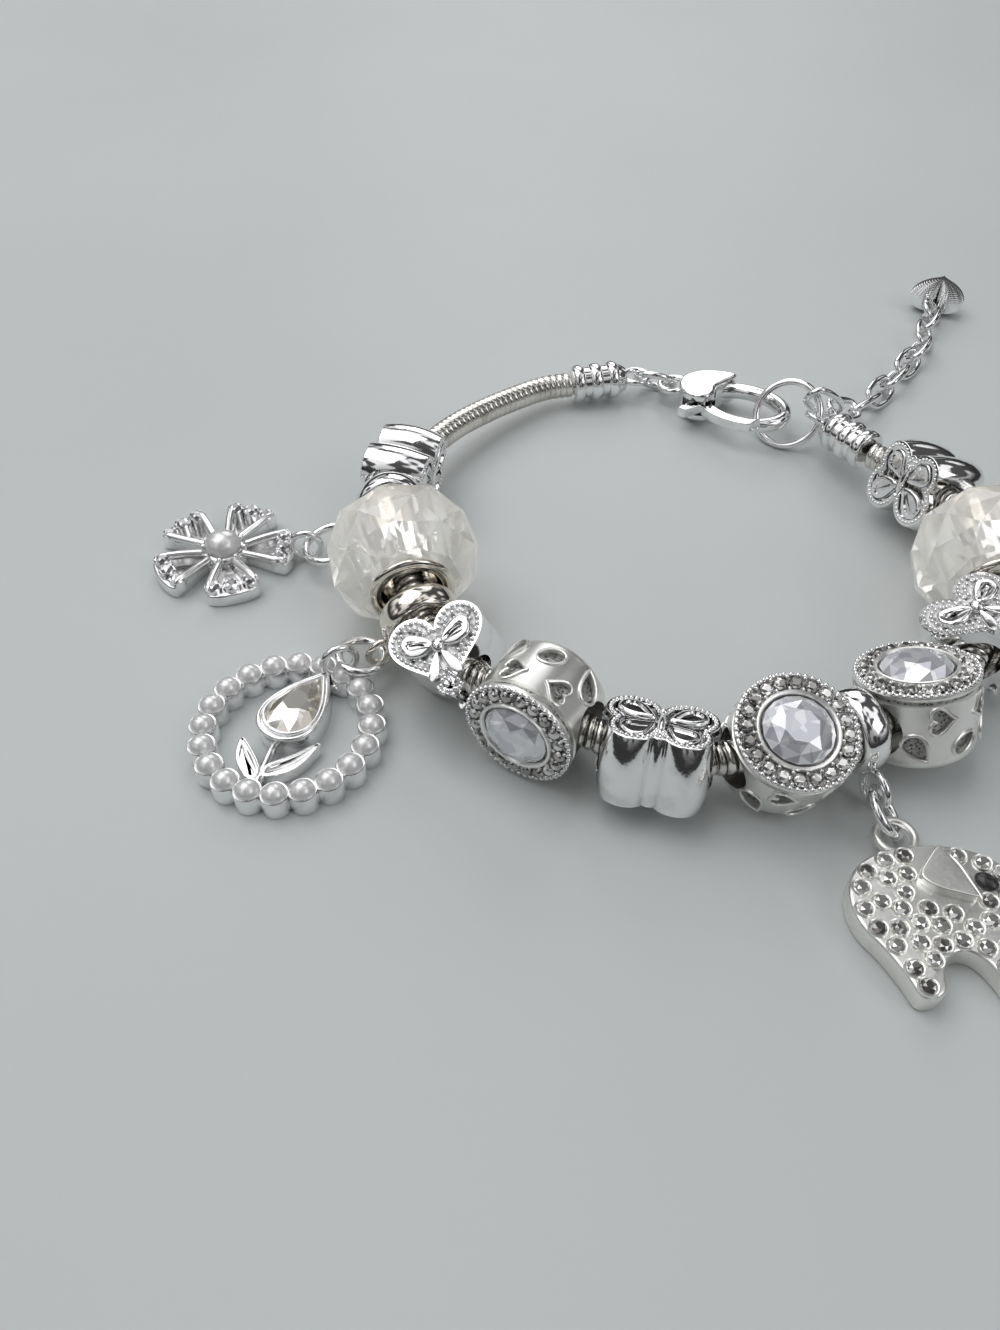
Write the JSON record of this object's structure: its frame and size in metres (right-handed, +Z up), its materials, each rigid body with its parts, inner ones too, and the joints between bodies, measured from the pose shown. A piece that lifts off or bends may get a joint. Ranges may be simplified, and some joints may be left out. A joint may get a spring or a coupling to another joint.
{
  "type": "charm bracelet",
  "caption": "Snake-chain bracelet lying in a loop, with slide-on beads, hanging charms, a lobster clasp and a short extender chain.",
  "frame": {"origin": "middle of the footprint, on the surface that the bracelet lies on", "axes": "+Z up off the table, +Y from the front beads towards the clasp and extender"},
  "size_m": [0.1014, 0.1078, 0.0147],
  "materials": {
    "snake_chain": "silver-plated snake chain, slightly dulled between the ribs",
    "end_cap_left": "bright silver plating",
    "end_cap_right": "bright silver plating",
    "butterfly_left": "bright silver plating",
    "crystal_glass_1": "clear faceted glass",
    "crystal_core_1": "warm nickel, slightly tarnished",
    "heart_bow_left": "bright silver plating",
    "drum_body_1": "bright silver plating",
    "drum_crystal_1": "clear faceted glass",
    "butterfly_front": "bright silver plating",
    "drum_body_2": "bright silver plating",
    "drum_crystal_2": "clear faceted glass",
    "drum_body_3": "bright silver plating",
    "drum_crystal_3": "clear faceted glass",
    "heart_bow_right": "bright silver plating",
    "crystal_glass_2": "clear faceted glass",
    "crystal_core_2": "warm nickel, slightly tarnished",
    "butterfly_right": "bright silver plating",
    "bail_flower": "bright silver plating",
    "jump_ring_flower": "bright silver plating",
    "flower_charm": "bright silver plating",
    "bail_pearl": "bright silver plating",
    "jump_ring_pearl": "bright silver plating",
    "pearl_charm": "bright silver plating",
    "teardrop_stone": "pale champagne faceted glass",
    "bail_elephant": "bright silver plating",
    "jump_ring_elephant": "bright silver plating",
    "elephant_charm": "bright silver plating",
    "clasp_body": "bright silver plating",
    "clasp_lever": "bright silver plating",
    "clasp_jump_ring": "bright silver plating",
    "extender_ring": "bright silver plating",
    "extender_link_1": "bright silver plating",
    "extender_link_2": "bright silver plating",
    "extender_link_3": "bright silver plating",
    "extender_link_4": "bright silver plating",
    "extender_link_5": "bright silver plating",
    "extender_link_6": "bright silver plating",
    "extender_link_7": "bright silver plating",
    "extender_link_8": "bright silver plating",
    "extender_link_9": "bright silver plating",
    "extender_heart": "bright silver plating"
  },
  "bodies": {
    "bracelet": {"snake_chain": "snake_chain", "end_cap_left": "end_cap_left", "end_cap_right": "end_cap_right", "butterfly_left": "butterfly_left", "crystal_glass_1": "crystal_glass_1", "crystal_core_1": "crystal_core_1", "heart_bow_left": "heart_bow_left", "drum_body_1": "drum_body_1", "drum_crystal_1": "drum_crystal_1", "butterfly_front": "butterfly_front", "drum_body_2": "drum_body_2", "drum_crystal_2": "drum_crystal_2", "drum_body_3": "drum_body_3", "drum_crystal_3": "drum_crystal_3", "heart_bow_right": "heart_bow_right", "crystal_glass_2": "crystal_glass_2", "crystal_core_2": "crystal_core_2", "butterfly_right": "butterfly_right", "bail_flower": "bail_flower", "jump_ring_flower": "jump_ring_flower", "flower_charm": "flower_charm", "bail_pearl": "bail_pearl", "jump_ring_pearl": "jump_ring_pearl", "pearl_charm": "pearl_charm", "teardrop_stone": "teardrop_stone", "bail_elephant": "bail_elephant", "jump_ring_elephant": "jump_ring_elephant", "elephant_charm": "elephant_charm", "clasp_body": "clasp_body", "clasp_jump_ring": "clasp_jump_ring", "extender_ring": "extender_ring", "extender_link_1": "extender_link_1", "extender_link_2": "extender_link_2", "extender_link_3": "extender_link_3", "extender_link_4": "extender_link_4", "extender_link_5": "extender_link_5", "extender_link_6": "extender_link_6", "extender_link_7": "extender_link_7", "extender_link_8": "extender_link_8", "extender_link_9": "extender_link_9", "extender_heart": "extender_heart"},
    "clasp_lever": {"clasp_lever": "clasp_lever"}
  },
  "joints": [
    {"name": "clasp_lever_hinge", "type": "hinge", "parent": "bracelet", "child": "clasp_lever", "pos_m": [0.01023, 0.02206, 0.00249], "axis": [-0.0686, 0.0619, 0.9957], "range_deg": [0, 20], "stiffness_Nm_per_rad": 0.001, "springref_deg": -8.59}
  ]
}
